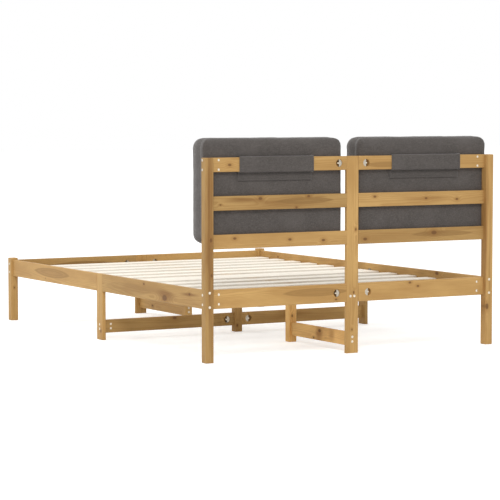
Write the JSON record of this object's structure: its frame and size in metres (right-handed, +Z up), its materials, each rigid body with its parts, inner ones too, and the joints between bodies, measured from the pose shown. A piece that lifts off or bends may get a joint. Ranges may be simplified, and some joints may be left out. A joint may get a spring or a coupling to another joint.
{
  "type": "double bed frame",
  "caption": "Knock-down pine double bed frame with slatted base, rail headboard, centre beam on legs and padded headboard cushions hung on cloth flaps.",
  "frame": {"origin": "centre of the bed's outline on the floor", "axes": "+Z up, +Y towards the headboard, -Y towards the foot end, +X towards the left side of someone facing the headboard's rear"},
  "size_m": [1.46, 2.07, 0.9312],
  "materials": {
    "pine": "planed and clear lacquered pine",
    "slat_pine": "planed pine, untreated",
    "beech": "fluted beech, plain",
    "zinc_steel": "bright zinc plate",
    "cushion_cloth": "woven cotton, dark taupe grey"
  },
  "bodies": {
    "frame": {"barrel_nuts": "zinc_steel", "centre_beam_foot": "pine", "centre_beam_head": "pine", "centre_leg_foot": "pine", "centre_leg_head": "pine", "centre_leg_middle": "pine", "cross_stretcher_left": "pine", "cross_stretcher_right": "pine", "dowels": "beech", "foot_end_rail_left": "pine", "foot_end_rail_right": "pine", "foot_post_left": "pine", "foot_post_middle": "pine", "foot_post_right": "pine", "half_moon_washers": "zinc_steel", "head_end_rail_left": "pine", "head_end_rail_right": "pine", "head_post_left": "pine", "head_post_middle": "pine", "head_post_right": "pine", "ledger_foot_left": "pine", "ledger_foot_right": "pine", "ledger_head_left": "pine", "ledger_head_right": "pine", "long_bolts": "zinc_steel", "long_stretcher_foot": "pine", "long_stretcher_head": "pine", "lower_rail_left": "pine", "lower_rail_right": "pine", "middle_rail_left": "pine", "middle_rail_right": "pine", "rod_nuts": "zinc_steel", "short_bolts": "zinc_steel", "side_leg_left": "pine", "side_leg_right": "pine", "side_rail_foot_left": "pine", "side_rail_foot_right": "pine", "side_rail_head_left": "pine", "side_rail_head_right": "pine", "slat_01": "slat_pine", "slat_02": "slat_pine", "slat_03": "slat_pine", "slat_04": "slat_pine", "slat_05": "slat_pine", "slat_06": "slat_pine", "slat_07": "slat_pine", "slat_08": "slat_pine", "slat_09": "slat_pine", "slat_10": "slat_pine", "slat_11": "slat_pine", "slat_12": "slat_pine", "slat_13": "slat_pine", "threaded_rods": "zinc_steel", "top_rail_left": "pine", "top_rail_right": "pine", "wood_screws": "zinc_steel"},
    "cushion_left": {"cushion_left": "cushion_cloth", "cushion_flap_left": "cushion_cloth"},
    "cushion_right": {"cushion_right": "cushion_cloth", "cushion_flap_right": "cushion_cloth"}
  },
  "joints": [
    {"name": "cushion_left_slide", "type": "slide", "parent": "frame", "child": "cushion_left", "axis": [1, 0, 0], "range_m": [-0.038, 0.13]},
    {"name": "cushion_right_slide", "type": "slide", "parent": "frame", "child": "cushion_right", "axis": [-1, 0, 0], "range_m": [-0.038, 0.13]}
  ]
}
